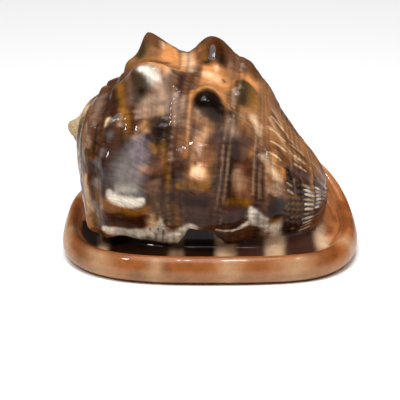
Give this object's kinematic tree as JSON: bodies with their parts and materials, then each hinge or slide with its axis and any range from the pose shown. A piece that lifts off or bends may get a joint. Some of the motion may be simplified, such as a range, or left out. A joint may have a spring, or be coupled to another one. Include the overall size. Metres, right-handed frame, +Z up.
{
  "type": "bullmouth helmet shell",
  "caption": "Large glossy sea shell with a knobbed body whorl, low spire, rolled lip and toothed slit, resting on its aperture face.",
  "frame": {"origin": "under the centre of the shell's box, on the plane that the shell rests on", "axes": "-X towards the spire, +X towards the siphonal canal, -Y towards the outer lip, +Z up from the aperture face"},
  "size_m": [0.1498, 0.1183, 0.1077],
  "materials": {
    "shell": "polished calcareous shell: orange-tan lip, chocolate and cream patches, mauve and blue-grey clouds"
  },
  "bodies": {
    "root": {"shell": "shell"}
  },
  "joints": []
}
